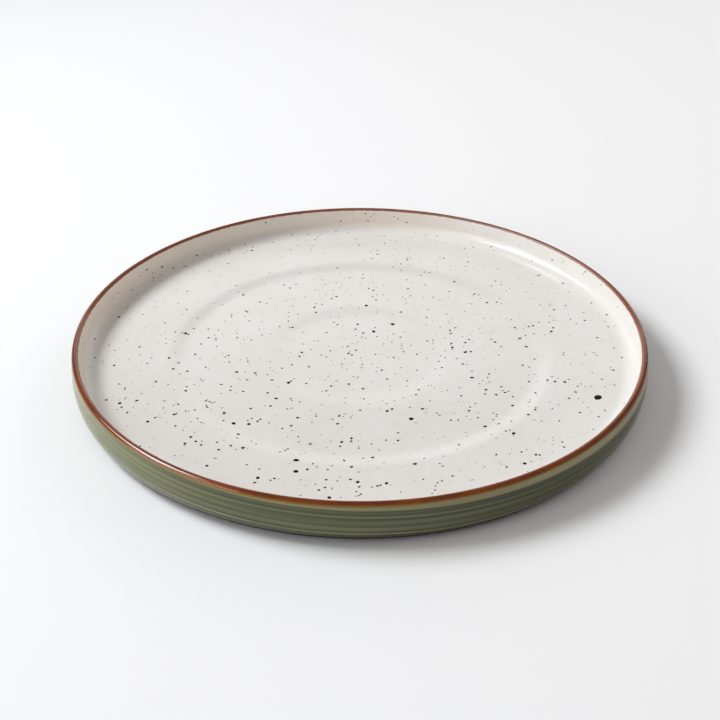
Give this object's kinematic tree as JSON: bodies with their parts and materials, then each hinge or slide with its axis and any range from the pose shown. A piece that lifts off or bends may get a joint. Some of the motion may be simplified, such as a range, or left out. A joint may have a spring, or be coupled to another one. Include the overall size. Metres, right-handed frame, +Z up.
{
  "type": "dinner plate",
  "caption": "Round stoneware dinner plate with a low upright wall, speckled cream well, brown banded lip and brushed green outside, standing on a bare foot ring.",
  "frame": {"origin": "on the table, at the middle of the foot ring", "axes": "+Z up along the plate's axis of turning; +X to the right and +Y away from the viewer of the picture; the plate is the same all round"},
  "size_m": [0.27, 0.27, 0.0215],
  "materials": {
    "bare_clay": "bare fired stoneware, matt",
    "cream_glaze": "glossy cream glaze with dark iron specks",
    "brown_glaze": "glossy iron-brown glaze",
    "green_glaze": "glossy grey-green glaze with brushed bands"
  },
  "bodies": {
    "root": {"stoneware_body": "bare_clay", "well_glaze": "cream_glaze", "rim_band": "brown_glaze", "wall_glaze": "green_glaze", "underside_glaze": "green_glaze"}
  },
  "joints": []
}
